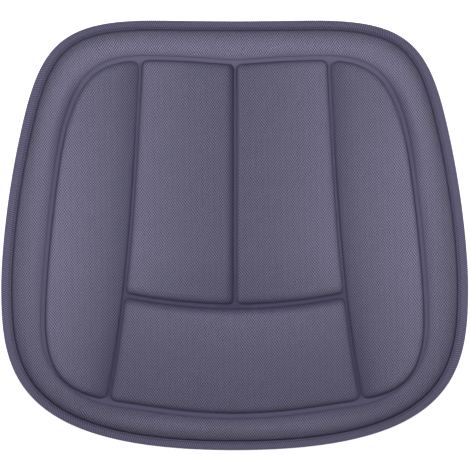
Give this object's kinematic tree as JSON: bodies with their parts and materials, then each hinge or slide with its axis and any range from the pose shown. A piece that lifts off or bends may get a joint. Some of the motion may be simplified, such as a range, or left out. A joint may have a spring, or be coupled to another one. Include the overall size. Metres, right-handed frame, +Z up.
{
  "type": "seat cushion",
  "caption": "Flat seat cushion with raised side bolsters, a split rear seat field, a wide front pad, a padded rim and a taped edge; heat-pressed channels part the pads.",
  "frame": {"origin": "centre of the underside of the grip layer, where the cushion meets the seat", "axes": "+Z up out of the sitting face, -Y towards the wide curved front edge, +X to the left of a person who sits on it facing -Y"},
  "size_m": [0.5, 0.4599, 0.029],
  "materials": {
    "woven_cover": "matt twill-woven polyester, slate grey with a violet cast, smooth where it is heat-pressed",
    "ribbed_tape": "matt ribbed polyester tape, slate grey",
    "sewing_thread": "polyester sewing thread, slate grey",
    "soft_foam": "open-cell polyurethane foam, off-white",
    "firm_foam": "firm open-cell polyurethane foam, grey",
    "hot_melt_web": "thin hot-melt adhesive web, translucent white",
    "backing_cloth": "matt knitted polyester lining, near black",
    "grip_coating": "soft satin PVC printed on the lining as dots, near black"
  },
  "bodies": {
    "root": {"top_cover": "woven_cover", "left_bolster_foam": "soft_foam", "right_bolster_foam": "soft_foam", "centre_left_foam": "soft_foam", "centre_right_foam": "soft_foam", "front_foam": "soft_foam", "rim_foam": "soft_foam", "base_foam": "firm_foam", "bonding_film": "hot_melt_web", "backing_cloth": "backing_cloth", "grip_layer": "grip_coating", "edge_binding": "ribbed_tape", "needle_thread": "sewing_thread", "bobbin_thread": "sewing_thread"}
  },
  "joints": []
}
